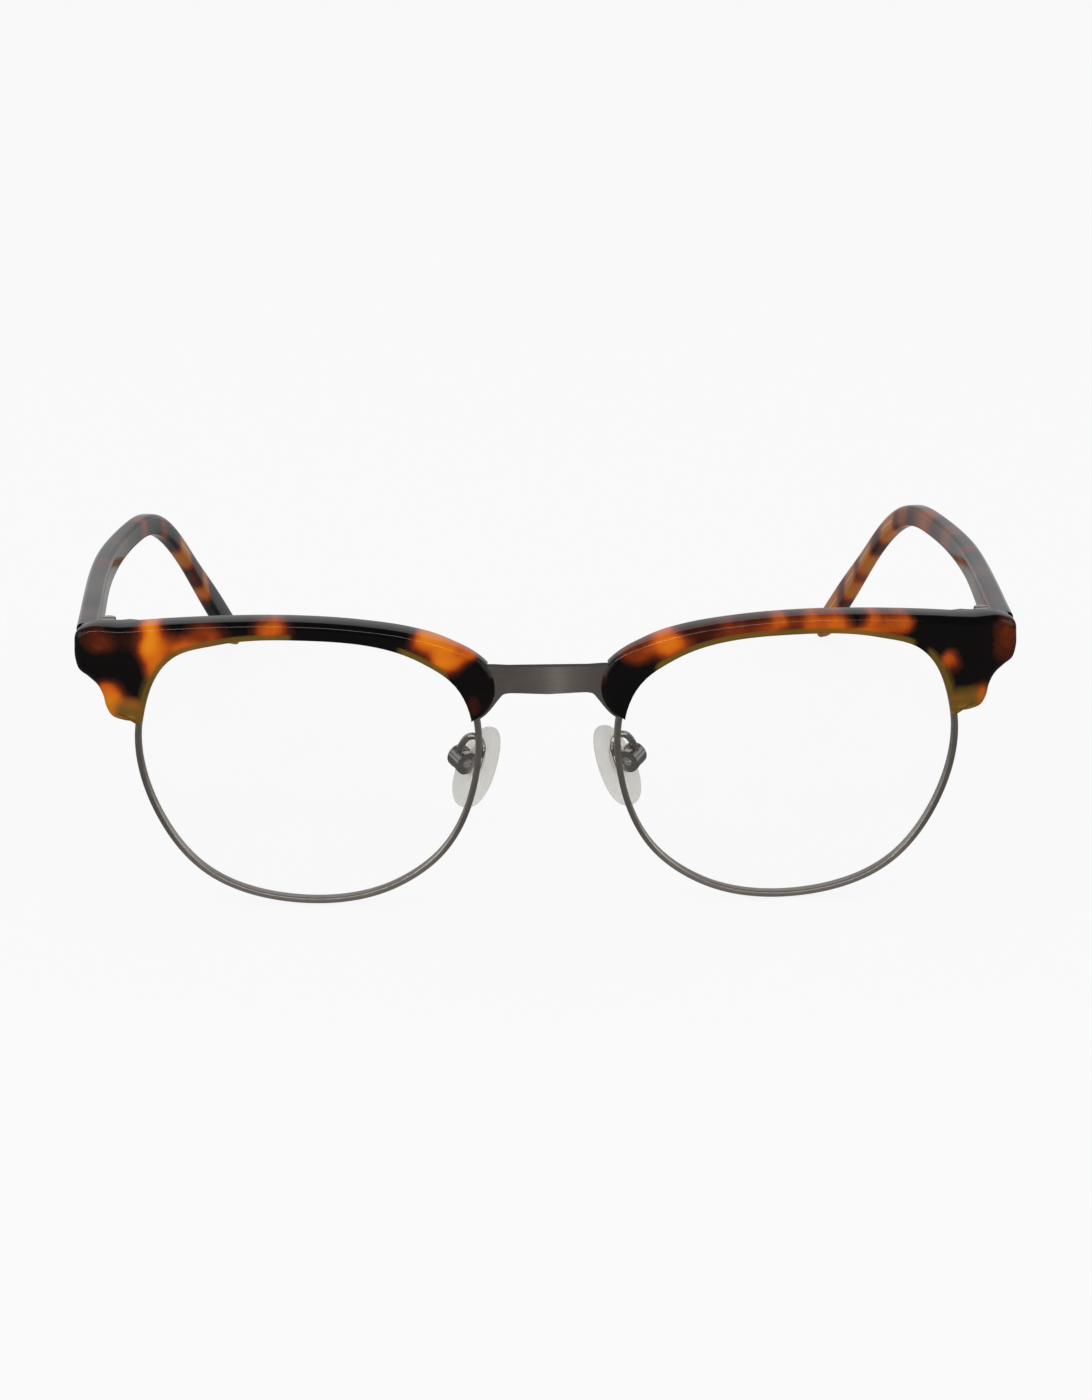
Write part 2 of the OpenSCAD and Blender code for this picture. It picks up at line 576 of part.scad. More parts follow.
rim(RIGHT);  // rim_right
rim(LEFT);  // rim_left
bridge();
closing_block(RIGHT, true);  // closing_block_upper_right
closing_block(LEFT, true);  // closing_block_upper_left
closing_block(RIGHT, false);  // closing_block_lower_right
closing_block(LEFT, false);  // closing_block_lower_left
rim_screw(RIGHT);  // rim_screw_right
rim_screw(LEFT);  // rim_screw_left
lens(RIGHT);  // lens_right
lens(LEFT);  // lens_left
brow(RIGHT);  // brow_right
brow(LEFT);  // brow_left
end_plate(RIGHT);  // end_plate_right
end_plate(LEFT);  // end_plate_left
end_plate_screws();
bridge_screws();
pad_arm(RIGHT);  // pad_arm_right
pad_arm(LEFT);  // pad_arm_left
pad_screw(RIGHT);  // pad_screw_right
pad_screw(LEFT);  // pad_screw_left
nose_pad(RIGHT);  // nose_pad_right
nose_pad(LEFT);  // nose_pad_left
pad_insert(RIGHT);  // pad_insert_right
pad_insert(LEFT);  // pad_insert_left
hinge_screw(RIGHT);  // hinge_screw_right
hinge_screw(LEFT);  // hinge_screw_left
temple_hinge(RIGHT);  // temple_hinge_right
temple_hinge(LEFT);  // temple_hinge_left
temple_rivets(RIGHT);  // temple_rivets_right
temple_rivets(LEFT);  // temple_rivets_left
temple(RIGHT);  // temple_right
temple(LEFT);  // temple_left
core_wire(RIGHT);  // core_wire_right
core_wire(LEFT);  // core_wire_left
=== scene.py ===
from math import cos, pi, radians, sin, sqrt

import bmesh
import bpy
from mathutils import Matrix, Vector, kdtree, noise


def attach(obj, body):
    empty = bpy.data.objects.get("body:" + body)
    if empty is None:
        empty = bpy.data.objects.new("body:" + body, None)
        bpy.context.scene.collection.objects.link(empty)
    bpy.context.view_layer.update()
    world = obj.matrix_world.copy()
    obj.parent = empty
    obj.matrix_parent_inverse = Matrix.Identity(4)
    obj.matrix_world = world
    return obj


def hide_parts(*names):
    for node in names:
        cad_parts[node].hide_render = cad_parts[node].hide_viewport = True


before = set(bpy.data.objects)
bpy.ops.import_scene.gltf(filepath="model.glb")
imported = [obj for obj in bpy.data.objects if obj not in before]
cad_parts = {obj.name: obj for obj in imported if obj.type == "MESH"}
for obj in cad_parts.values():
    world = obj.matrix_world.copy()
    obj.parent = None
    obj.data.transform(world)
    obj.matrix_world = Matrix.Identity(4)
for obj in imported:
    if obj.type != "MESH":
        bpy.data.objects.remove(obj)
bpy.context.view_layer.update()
MM = 0.001
RIGHT, LEFT = -1, 1

# Studio: a pale seamless floor under a white room, with the camera at the photograph's angle.
# The room is bright behind and beside the glasses and dark on the camera's side, as a product
# photographer sets it, so polished black stays black and edges still catch the light.

# The camera as fitted to the photograph: lengths in mm, the focal length in pixels of its frame
CAMERA_DISTANCE = 565.4
CAMERA_ELEVATION = radians(18.13)
CAMERA_TURN = radians(1.46)
CAMERA_ROLL = radians(-0.29)
CAMERA_TARGET = Vector((-0.28, 0.0, 32.46))
FRAME_HEIGHT_PX = 1400
FOCAL_PX = 3804.9
SENSOR = 36.0
# How far the part's middle lies behind its bridge, in mm
MID_DEPTH = 66.25
# Brightness of wall and floor to the camera, where 1 is white, and the share of the floor that takes shadow
BACKDROP = 0.947
FLOOR_GLOW = 0.983
SHADOW_SHARE = 0.1
FLOOR_REACH, FLOOR_Z = 6.0, -0.0002
# What polished faces mirror: the dark side of the room, what the wall adds to that, and the far floor
GLOSS_DARK, GLOSS_WALL, GLOSS_FLOOR = 0.1, 0.45, 0.6
# Strength of the room as a light, and what it adds on matt faces
ROOM_LIGHT, ROOM_DIFFUSE = 0.25, 0.4

scene = bpy.context.scene
scene.view_settings.view_transform = "Standard"

camera_data = bpy.data.cameras.new("camera")
camera_data.sensor_width = SENSOR
camera_data.lens = FOCAL_PX / FRAME_HEIGHT_PX * SENSOR
camera_data.clip_start = 0.01
camera = bpy.data.objects.new("camera", camera_data)
scene.collection.objects.link(camera)
scene.camera = camera
forward = Vector((sin(CAMERA_TURN) * cos(CAMERA_ELEVATION), cos(CAMERA_TURN) * cos(CAMERA_ELEVATION),
                  -sin(CAMERA_ELEVATION)))
level_right = Vector((cos(CAMERA_TURN), -sin(CAMERA_TURN), 0))
level_up = level_right.cross(forward)
right = cos(CAMERA_ROLL) * level_right + sin(CAMERA_ROLL) * level_up
up = -sin(CAMERA_ROLL) * level_right + cos(CAMERA_ROLL) * level_up
turn = Matrix((right, up, -forward)).transposed().to_4x4()
spot = (CAMERA_TARGET - Vector((0, MID_DEPTH, 0)) - forward * CAMERA_DISTANCE) * MM
camera.matrix_world = Matrix.Translation(spot) @ turn


def add_node(tree, kind, inputs=None, **settings):
    """A shader or geometry node with its settings and inputs; an input may be a socket to link from."""
    node = tree.nodes.new(kind)
    for name, value in settings.items():
        setattr(node, name, value)
    for key, value in (inputs or {}).items():
        if isinstance(value, bpy.types.NodeSocket):
            tree.links.new(value, node.inputs[key])
        else:
            node.inputs[key].default_value = value
    return node


def maths(tree, operation, a, b=0.0, c=0.0, clamp=False):
    return add_node(tree, "ShaderNodeMath", {0: a, 1: b, 2: c}, operation=operation, use_clamp=clamp).outputs[0]


def smooth_range(tree, value, low, high, to_low=0.0, to_high=1.0):
    """A value that eases from to_low to to_high while the given one goes from low to high."""
    node = add_node(tree, "ShaderNodeMapRange", {"Value": value, "From Min": low, "From Max": high,
                                                 "To Min": to_low, "To Max": to_high},
                    interpolation_type="SMOOTHSTEP")
    return node.outputs["Result"]


def mixed(tree, factor, a, b):
    return add_node(tree, "ShaderNodeMix", {"Factor": factor, 2: a, 3: b}).outputs[0]


def object_place(tree):
    """The place on the object itself, whatever the view."""
    return add_node(tree, "ShaderNodeTexCoord").outputs["Object"]


def part_of(tree, vector, letter):
    return add_node(tree, "ShaderNodeSeparateXYZ", {0: vector}).outputs[letter]


world = bpy.data.worlds.new("white_room")
world.use_nodes = True
scene.world = world
tree = world.node_tree
tree.nodes.clear()
direction = add_node(tree, "ShaderNodeSeparateXYZ",
                     {0: add_node(tree, "ShaderNodeTexCoord").outputs["Generated"]})
rays = add_node(tree, "ShaderNodeLightPath")
behind = smooth_range(tree, direction.outputs["Y"], -0.35, 0.25)
beside = smooth_range(tree, maths(tree, "ABSOLUTE", direction.outputs["X"]), 0.55, 0.95)
low_enough = smooth_range(tree, direction.outputs["Z"], 0.55, 0.8, 1.0, 0.12)
wall = maths(tree, "MULTIPLY", maths(tree, "MAXIMUM", behind, beside), low_enough)
seen_in_gloss = maths(tree, "MULTIPLY_ADD", wall, GLOSS_WALL, GLOSS_DARK)
for_light = maths(tree, "MULTIPLY_ADD", rays.outputs["Is Diffuse Ray"], ROOM_DIFFUSE, ROOM_LIGHT)
strength = mixed(tree, rays.outputs["Is Glossy Ray"], for_light, seen_in_gloss)
straight = maths(tree, "MAXIMUM", rays.outputs["Is Camera Ray"], rays.outputs["Is Transmission Ray"])
strength = mixed(tree, straight, strength, BACKDROP)
background = add_node(tree, "ShaderNodeBackground", {"Color": (1, 1, 1, 1), "Strength": strength})
add_node(tree, "ShaderNodeOutputWorld", {"Surface": background.outputs[0]})

floor_mesh = bpy.data.meshes.new("floor")
floor_corners = [(x * FLOOR_REACH, y * FLOOR_REACH, FLOOR_Z) for x, y in ((-1, -1), (1, -1), (1, 1), (-1, 1))]
floor_mesh.from_pydata(floor_corners, [], [(0, 1, 2, 3)])
floor = bpy.data.objects.new("floor", floor_mesh)
scene.collection.objects.link(floor)
paper = bpy.data.materials.new("floor_paper")
paper.use_nodes = True
tree = paper.node_tree
tree.nodes.clear()
rays = add_node(tree, "ShaderNodeLightPath")
in_gloss = smooth_range(tree, part_of(tree, object_place(tree), "Y"), -0.05, 0.28, GLOSS_DARK, GLOSS_FLOOR)
glow = mixed(tree, rays.outputs["Is Glossy Ray"], FLOOR_GLOW, in_gloss)
sheet = add_node(tree, "ShaderNodeBsdfDiffuse", {"Color": (0.86, 0.86, 0.86, 1)})
lit = add_node(tree, "ShaderNodeEmission", {"Color": (1, 1, 1, 1), "Strength": glow})
seen = maths(tree, "MAXIMUM", rays.outputs["Is Camera Ray"], rays.outputs["Is Glossy Ray"])
seen = maths(tree, "MAXIMUM", seen, rays.outputs["Is Transmission Ray"])
mix = add_node(tree, "ShaderNodeMixShader", {0: maths(tree, "MULTIPLY", seen, 1 - SHADOW_SHARE),
                                             1: sheet.outputs[0], 2: lit.outputs[0]})
add_node(tree, "ShaderNodeOutputMaterial", {"Surface": mix.outputs[0]})
floor_mesh.materials.append(paper)

# name, where it hangs (m), what it points at (m), width, height (m), power (W)
LAMPS = (
    ("key_front", (-0.15, -0.75, 0.72), (0, -0.06, 0.03), 1.7, 0.03, 1.8),
    ("fill_left", (-0.85, -0.35, 0.35), (0, -0.03, 0.03), 0.4, 0.5, 0.5),
    ("fill_right", (0.85, -0.35, 0.35), (0, -0.03, 0.03), 0.4, 0.5, 0.5),
    ("back_top", (0, 0.6, 0.8), (0, 0.0, 0.03), 0.7, 0.4, 0.5),
)
for name, at, aim, width, height, power in LAMPS:
    lamp = bpy.data.lights.new(name, "AREA")
    lamp.shape = "RECTANGLE"
    lamp.size, lamp.size_y, lamp.energy = width, height, power
    lamp_object = bpy.data.objects.new(name, lamp)
    scene.collection.objects.link(lamp_object)
    lamp_object.location = at
    lamp_object.rotation_euler = (Vector(aim) - Vector(at)).to_track_quat("-Z", "Y").to_euler()

# Rims: two rings of drawn gunmetal wire, each bent round its lens and cut once behind the brow,
# where the closing blocks are. The wire is a rounded bar that follows the lens opening, laid on
# the sphere that the whole front follows. Each half of the front is drawn flat, then turned and tilted.
LENS_W, LENS_H, NOSE_GAP = 50, 42, 21.8
RIM_W, RIM_D, RIM_ROUNDING = 0.95, 1.7, 0.4
# The front leans forward, wraps back to each side, and is lifted until it stands on the floor (mm)
TILT, WRAP, LIFT = radians(2.7), radians(3.5), 0.011
# The lenses' sphere, and how far from a lens centre it crosses the flat front
SPHERE_R, SAG_ZERO_R = 150.0, 21.5
LENS_U, LENS_V = NOSE_GAP / 2 + LENS_W / 2, RIM_W + LENS_H / 2
# Points round the lens opening, from the lens centre
LENS_POINTS = [(24.7, 7.05), (19.65, 17.65), (12.9, 19.95), (1.6, 20.95), (-17.25, 17.4), (-21.55, 14.4),
               (-23.9, -4.25), (-19.35, -13.4), (-12.5, -18.55), (0.7, -21.05), (16.05, -16.1), (22.3, -7.45)]
LENS_STEPS = 16
CUT_V, CUT_H = LENS_V + 10.6, 0.3


def tilted(x, y, z, side=LEFT):
    """A point of the whole front, in mm before it leans forward, as a point of the part in metres."""
    return Vector((side * x, y * cos(TILT) - z * sin(TILT) - MID_DEPTH, y * sin(TILT) + z * cos(TILT) + LIFT)) * MM


def on_front(u, depth, v, side):
    """A point of one half: u outwards, depth back, v up."""
    return tilted(u * cos(WRAP) - depth * sin(WRAP), u * sin(WRAP) + depth * cos(WRAP), v, side)


def sag(u, v):
    """How far back the front's sphere lies at a place on the half."""
    flat = (u - LENS_U) ** 2 + (v - LENS_V) ** 2
    return SPHERE_R - SAG_ZERO_R ** 2 / (2 * SPHERE_R) - sqrt(SPHERE_R ** 2 - flat)


def smooth_line(points, steps, closed):
    """Flat points joined by smooth stretches, each leaving and meeting its points along one heading."""
    pts = [Vector(p) for p in points]
    n = len(pts)
    heads = []
    for i, p in enumerate(pts):
        a, b = pts[i - 1], pts[(i + 1) % n]
        if not closed and i == 0:
            heads.append((b - p).normalized())
        elif not closed and i == n - 1:
            heads.append((p - a).normalized())
        else:
            d, e = (p - a).length, (b - p).length
            heads.append(((p - a) / d * e + (b - p) / e * d).normalized())
    line = []
    for i in range(n if closed else n - 1):
        p, q, d = pts[i], pts[(i + 1) % n], (pts[(i + 1) % n] - pts[i]).length
        for step in range(steps):
            k = step / steps
            line.append((2 * k ** 3 - 3 * k ** 2 + 1) * p + (k ** 3 - 2 * k ** 2 + k) * d * heads[i]
                        + (3 * k ** 2 - 2 * k ** 3) * q + (k ** 3 - k ** 2) * d * heads[(i + 1) % n])
    if not closed:
        line.append(pts[-1])
    return line


def beside_line(line, d, closed=True):
    """The same line moved to its right by d."""
    out = []
    for i, p in enumerate(line):
        a = line[i - 1] if closed or i else line[0]
        b = line[(i + 1) % len(line)] if closed or i < len(line) - 1 else line[-1]
        t = (b - a).normalized()
        out.append(p + d * Vector((t.y, -t.x)))
    return out


opening = smooth_line([(LENS_U + p[0], LENS_V + p[1]) for p in LENS_POINTS], LENS_STEPS, True)


def cut_open(line):
    """The closed line started at the closing block's cut on its outer side, with the cut left out."""
    start = min(range(len(line)), key=lambda i: abs(line[i].y - CUT_V) + (0 if line[i].x > LENS_U else 99))
    turned = line[start:] + line[:start]
    return [p for p in turned if p.x < LENS_U or abs(p.y - CUT_V) > CUT_H / 2]


def set_input(modifier, name, value):
    """Sets an input of a node modifier through its identifier."""
    for item in modifier.node_group.interface.items_tree:
        if item.item_type == "SOCKET" and item.in_out == "INPUT" and item.name == name:
            modifier[item.identifier] = value


def follow_path_tree(name):
    """A tree that lays a bar of a rounded section along the object's own edges."""
    group = bpy.data.node_groups.new(name, "GeometryNodeTree")
    face = group.interface
    face.new_socket("Geometry", in_out="INPUT", socket_type="NodeSocketGeometry")
    for socket in ("Width", "Depth", "Rounding"):
        face.new_socket(socket, in_out="INPUT", socket_type="NodeSocketFloat")
    face.new_socket("Back", in_out="INPUT", socket_type="NodeSocketVector")
    face.new_socket("Material", in_out="INPUT", socket_type="NodeSocketMaterial")
    face.new_socket("Geometry", in_out="OUTPUT", socket_type="NodeSocketGeometry")
    start = group.nodes.new("NodeGroupInput").outputs
    path = add_node(group, "GeometryNodeMeshToCurve", {"Mesh": start["Geometry"]})
    level = add_node(group, "GeometryNodeSetCurveNormal", {"Curve": path.outputs[0], "Normal": start["Back"]},
                     mode="FREE")
    bar = add_node(group, "GeometryNodeCurvePrimitiveQuadrilateral",
                   {"Width": start["Depth"], "Height": start["Width"]}, mode="RECTANGLE")
    soft = add_node(group, "GeometryNodeFilletCurve", {"Curve": bar.outputs[0], "Radius": start["Rounding"],
                                                       "Count": 5, "Limit Radius": True}, mode="POLY")
    swept = add_node(group, "GeometryNodeCurveToMesh", {"Curve": level.outputs[0], "Profile Curve": soft.outputs[0],
                                                        "Fill Caps": True})
    shaded = add_node(group, "GeometryNodeSetShadeSmooth", {"Geometry": swept.outputs[0]})
    whole = add_node(group, "GeometryNodeRealizeInstances", {"Geometry": shaded.outputs[0]})
    coated = add_node(group, "GeometryNodeSetMaterial", {"Geometry": whole.outputs[0], "Material": start["Material"]})
    add_node(group, "NodeGroupOutput", {"Geometry": coated.outputs[0]})
    return group


def path_object(name, points):
    """An object whose mesh is only the edges of an open path."""
    mesh = bpy.data.meshes.new(name)
    mesh.from_pydata(points, [(i, i + 1) for i in range(len(points) - 1)], [])
    obj = bpy.data.objects.new(name, mesh)
    scene.collection.objects.link(obj)
    return obj


def keep_result(obj):
    """Replaces an object's mesh by what its modifiers make of it."""
    bpy.context.view_layer.update()
    made = bpy.data.meshes.new_from_object(obj.evaluated_get(bpy.context.evaluated_depsgraph_get()))
    obj.modifiers.clear()
    obj.data = made
    made.name = obj.name


def run_tree(obj, group, **inputs):
    """Runs a node tree on an object and keeps the result as the object's plain mesh."""
    modifier = obj.modifiers.new("made", "NODES")
    modifier.node_group = group
    for name, value in inputs.items():
        set_input(modifier, name, value)
    keep_result(obj)


def noise_value(tree, place, scale, detail, **inputs):
    return add_node(tree, "ShaderNodeTexNoise", {"Vector": place, "Scale": scale, "Detail": detail,
                                                 **inputs}).outputs["Fac"]


def new_material(name):
    """A material, with its tree and its shader."""
    material = bpy.data.materials.new(name)
    material.use_nodes = True
    return material, material.node_tree, material.node_tree.nodes["Principled BSDF"]


def gunmetal(name, colour, roughness, streak_scale, streak_depth):
    """Plated grey metal: fine brushing along one direction, slight cloudiness in colour and gloss."""
    material, tree, shader = new_material(name)
    shader.inputs["Metallic"].default_value = 1.0
    coords = object_place(tree)
    stretched = add_node(tree, "ShaderNodeMapping", {"Vector": coords, "Scale": streak_scale}).outputs[0]
    streaks = noise_value(tree, stretched, 1.0, 6.0, Roughness=0.65)
    clouds = noise_value(tree, coords, 260.0, 3.0)
    tint = add_node(tree, "ShaderNodeValToRGB", {"Fac": maths(tree, "MULTIPLY_ADD", streaks, 0.6,
                                                              maths(tree, "MULTIPLY", clouds, 0.4))})
    ramp = tint.color_ramp
    ramp.elements[0].position, ramp.elements[1].position = 0.3, 0.72
    ramp.elements[0].color = tuple(c * 0.86 for c in colour) + (1,)
    ramp.elements[1].color = tuple(min(1, c * 1.14) for c in colour) + (1,)
    tree.links.new(tint.outputs["Color"], shader.inputs["Base Color"])
    rough = maths(tree, "MULTIPLY_ADD", streaks, 0.16, roughness - 0.08)
    tree.links.new(rough, shader.inputs["Roughness"])
    bump = add_node(tree, "ShaderNodeBump", {"Height": streaks, "Strength": streak_depth, "Distance": 0.00004})
    tree.links.new(bump.outputs["Normal"], shader.inputs["Normal"])
    return material


def facing_up(tree):
    """How far a face looks up: 1 on top, 0 where it is upright."""
    return part_of(tree, add_node(tree, "ShaderNodeNewGeometry").outputs["Normal"], "Z")


def scale_colour(material, factor):
    """Multiplies a material's base colour by a value from its own tree."""
    tree = material.node_tree
    base = tree.nodes["Principled BSDF"].inputs["Base Color"]
    scaled = add_node(tree, "ShaderNodeVectorMath", {0: base.links[0].from_socket, "Scale": factor},
                      operation="SCALE")
    tree.links.new(scaled.outputs[0], base)


# The drawn wire has a painted highlight, lighter along the bottom, and painted shade, darker on faces that look up
rim_metal = gunmetal("rim_gunmetal", (0.5, 0.455, 0.405), 0.34, (900, 900, 900), 0.3)
tree = rim_metal.node_tree
painted_highlight = smooth_range(tree, part_of(tree, object_place(tree), "Z"), 0.003, 0.014, 1.7, 0.97)
painted_shade_upward = smooth_range(tree, facing_up(tree), 0.35, 0.85, 1.0, 0.42)
scale_colour(rim_metal, maths(tree, "MULTIPLY", painted_highlight, painted_shade_upward))
along_path = follow_path_tree("bar_along_path")
rim_middle = beside_line(cut_open(opening), RIM_W / 2, closed=False)
for side, word in ((RIGHT, "right"), (LEFT, "left")):
    back = (on_front(0, 1, 0, side) - on_front(0, 0, 0, side)).normalized()
    rim = path_object("rim_wire_" + word, [on_front(p.x, sag(p.x, p.y), p.y, side) for p in rim_middle])
    run_tree(rim, along_path, Width=RIM_W * MM, Depth=RIM_D * MM, Rounding=RIM_ROUNDING * MM, Back=back,
             Material=rim_metal)
    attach(rim, "front")
    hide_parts("rim_" + word)

# Closing blocks and their screws: a soldered block on each cut end of the rim, drawn together by a
# steel screw. Cut from the same plated bar as the rims, and hidden under the brow's outer end.


def dress_nodes(material, *names):
    """Gives solids of the frame their finish."""
    for name in names:
        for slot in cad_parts[name].material_slots:
            slot.material = material


block_metal = gunmetal("block_gunmetal", (0.2, 0.18, 0.17), 0.36, (600, 600, 600), 0.2)
screw_steel = gunmetal("turned_steel", (0.5, 0.48, 0.46), 0.26, (300, 300, 2500), 0.15)
dress_nodes(block_metal, *("closing_block_%s_%s" % (half, word) for half in ("upper", "lower")
                           for word in ("right", "left")))
dress_nodes(screw_steel, "rim_screw_right", "rim_screw_left")

# Bridge: a flat plate of nickel silver, stamped, bent back at both ends and brushed along its length,
# then plated. Its ends lie behind the brows, each held by one screw from behind.
bridge_metal = gunmetal("brushed_bridge", (0.5, 0.437, 0.385), 0.36, (160, 900, 5200), 0.5)
tree = bridge_metal.node_tree
# A painted highlight, brighter at the middle, and painted shade, nearly black on faces that look up along its top
# edge
across = part_of(tree, object_place(tree), "X")
from_middle = maths(tree, "ABSOLUTE", maths(tree, "SUBTRACT", across, 0.0013))
painted_highlight = maths(tree, "ADD", smooth_range(tree, from_middle, 0.0, 0.0026, 0.5, 0.0),
             smooth_range(tree, from_middle, 0.001, 0.007, 1.22, 0.9))
painted_shade_on_top = smooth_range(tree, facing_up(tree), 0.4, 0.8, 1.0, 0.03)
scale_colour(bridge_metal, maths(tree, "MULTIPLY", painted_highlight, painted_shade_on_top))
dress_nodes(bridge_metal, "bridge")
dress_nodes(screw_steel, "bridge_screws")

# Lenses: clear hard-coated plastic, ground to the sphere of the front, with a bevel that snaps into
# the groove of the rim. Seen straight on they hardly show; they mirror more as the view slants.
clear, tree, shader = new_material("clear_lens")
shader.inputs["Base Color"].default_value = (0.9, 0.93, 0.94, 1)
shader.inputs["Roughness"].default_value = 0.03
slant = add_node(tree, "ShaderNodeLayerWeight", {"Blend": 0.35}).outputs["Facing"]
haze = noise_value(tree, object_place(tree), 90.0, 2.0)
veil = maths(tree, "MULTIPLY_ADD", maths(tree, "POWER", slant, 3.0), 0.3, maths(tree, "MULTIPLY", haze, 0.012))
tree.links.new(veil, shader.inputs["Alpha"])
dress_nodes(clear, "lens_right", "lens_left")

# Brows: milled from one sheet of mottled acetate, tumbled until they shine, with a rounded bevel along the
# outer edge. A thin lip covers the rim; the thick outer end carries the hinge plate in a pocket.
BROW_POINTS = [(-24.5, 8.0), (-25.8, 8.4), (-26.9, 9.5), (-27.8, 11.2), (-28.2, 13.1), (-27.9, 14.8),
               (-27.0, 16.2), (-25.0, 18.0), (-21.4, 19.8), (-15.3, 21.7), (-7.9, 22.9), (2.1, 23.5), (12.1, 23.2),
               (20.1, 22.5), (27.3, 21.6), (32.9, 21.1), (34.2, 20.4), (34.6, 18.2), (34.5, 16.2), (34.0, 14.8),
               (32.6, 13.8), (31.2, 12.6), (30.4, 11.1), (29.9, 9.2), (29.1, 8.0), (27.7, 7.5), (25.1, 7.4)]
BROW_STEPS = 9
# Height of the brow's two ends above the lens centre
NASAL_END_V, OUTER_END_V = 8.0, 7.4
# Depths of front and back from the lenses' sphere, and how much thinner the back is at the nose
BROW_FRONT, BROW_BACK, NASAL_THINNING = -2.28, 1.72, 1.3
# The lip over the rim: how far it reaches past the wire, its back, and the width of the step behind it
LIP_OVER, LIP_BACK, REBATE = 0.15, -0.88, 0.98
# The thick outer end: from u, from v, depth of its flat back
BLOCK_U, BLOCK_V, BLOCK_BACK = 61.7, LENS_V + 12.6, 4.8
BEVEL_W, BEVEL_D, BEVEL_CURVE = 1.05, 0.6, 1.7
# Below this width the section's edges shrink with it
FULL_WIDTH = 2.7
HINGE_U, HINGE_V = 65.9, LENS_V + 17.85
# Pockets in the back: round the closing block, for the end plate, and for its tongue (u, u, y, y, v, v)
CLOSING_U, HALF_PLATE = LENS_U + 24.3 + RIM_W, 2.78
POCKETS = ((CLOSING_U - 1, CLOSING_U + 2.55, 0.45, 9, CUT_V - 2.3, CUT_V + 2.3),
           (61.87, 66.83, 3.78, 9, HINGE_V - HALF_PLATE, HINGE_V + HALF_PLATE),
           (61.87, 63.73, 0.45, 9, CUT_V + 2.2, HINGE_V - 2.2))
# The room for the end of the bridge: its outline seen from above, and the heights it goes from and to
WING = ((-2, -0.05), (6, -0.05), (12.5, 1.1), (12.5, 9), (-2, 9))
WING_Z = (LENS_V + 2, LENS_V + 16.26 + 0.05)
# Soft blotches in the sheet: u, v from the lens centre, half width, half height, tone from black 0 to amber 1
BLOTCHES = {
    RIGHT: ((31.2, 19.4, 3.0, 1.9, 0.36), (15.4, 21.2, 4.4, 2.2, 0.5), (17.4, 19.2, 3.4, 1.3, 0.68),
            (19.2, 22.4, 2.3, 1.1, 0.14), (23.2, 22.4, 1.7, 1.8, 0.8), (22.8, 19.4, 1.55, 2.8, 0.97),
            (22.0, 16.4, 1.7, 2.2, 0.76), (4.8, 22.3, 2.5, 1.8, 0.66), (-19.0, 20.6, 2.9, 1.8, 0.86),
            (-21.0, 18.0, 2.2, 2.2, 0.9), (-24.2, 18.4, 2.8, 1.2, 0.64), (-25.0, 10.6, 1.6, 2.0, 0.25),
            (30.0, 12.2, 1.4, 1.3, 0.6), (28.9, 9.6, 1.9, 2.6, 0.88), (25.4, 8.8, 2.4, 1.8, 0.68)),
    LEFT: ((-28.0, 15.6, 1.1, 3.4, 0.32), (-23.2, 18.2, 2.4, 1.5, 0.4), (-18.2, 19.6, 3.3, 2.0, 0.83),
           (-9.4, 21.4, 3.9, 2.0, 0.42), (-12.6, 21.9, 1.5, 1.2, 0.32), (-3.8, 21.6, 2.4, 1.5, 0.46),
           (-1.6, 22.6, 1.7, 1.2, 0.6), (5.0, 22.1, 4.4, 1.6, 0.52), (3.0, 22.3, 1.4, 1.5, 0.63),
           (7.2, 22.2, 1.8, 1.4, 0.7), (9.9, 22.9, 0.9, 1.1, 0.16), (12.4, 22.0, 1.3, 1.6, 0.62),
           (14.0, 21.6, 0.6, 1.2, 0.44), (16.2, 21.8, 2.0, 1.7, 0.61), (9.0, 20.5, 5.4, 0.7, 0.72),
           (23.9, 15.5, 1.4, 1.8, 0.62), (32.8, 17.8, 2.4, 4.4, 0.36), (28.8, 9.3, 1.3, 1.9, 0.62),
           (25.4, 8.6, 1.8, 1.6, 0.62))}
# Where the thin lip over the rim shows as a paler line of painted light shining through it: from u, to u
LIP_SPANS = {RIGHT: ((1.5, 27), (-21.5, -13.5)), LEFT: ((20.3, 27), (-20.5, 19))}
LIP_LINE, LIP_LINE_FADE = 1.05, 0.35
# The outer end thins to a tip made paler by painted light shining through it: below this v, over this height, and
# less so past this u
TIP_V, TIP_FADE, TIP_EDGE_U = 11.6, 2.4, 27.6
# The blotches drift the same way in every run
noise.seed_set(4)


def place_on_half(point, side):
    """The u and v on the half of a place in the part, in mm from the lens centre."""
    x, y, z = side * point.x / MM, point.y / MM + MID_DEPTH, point.z / MM - LIFT
    depth = y * cos(TILT) + z * sin(TILT)
    return x * cos(WRAP) + depth * sin(WRAP) - LENS_U, z * cos(TILT) - y * sin(TILT) - LENS_V


def blend_to(value, target, share):
    return value + (target - value) * share


def limited(value):
    """The value held between 0 and 1."""
    return min(1, max(0, value))


def ease(k):
    k = limited(k)
    return k * k * (3 - 2 * k)


def tone_of_brow(u, v, side):
    """Tone of the acetate at a place on the brow."""
    drift = noise.noise_vector(Vector((u, v, 7.0 * side)) * 0.3)
    wu, wv = u + 0.9 * drift.x, v + 0.6 * drift.y
    tone = 0.03 + 0.16 * max(0.0, noise.noise(Vector((u, v, 3.0 * side)) * 0.16))
    for cu, cv, ru, rv, target in BLOTCHES[side]:
        reach = ((wu - cu) / ru) ** 2 + ((wv - cv) / rv) ** 2
        tone = blend_to(tone, target, 1 / (1 + reach ** 1.9))
    return tone


def set_attribute(mesh, name, values):
    layer = mesh.attributes.new(name, "FLOAT", "POINT")
    layer.data.foreach_set("value", values)


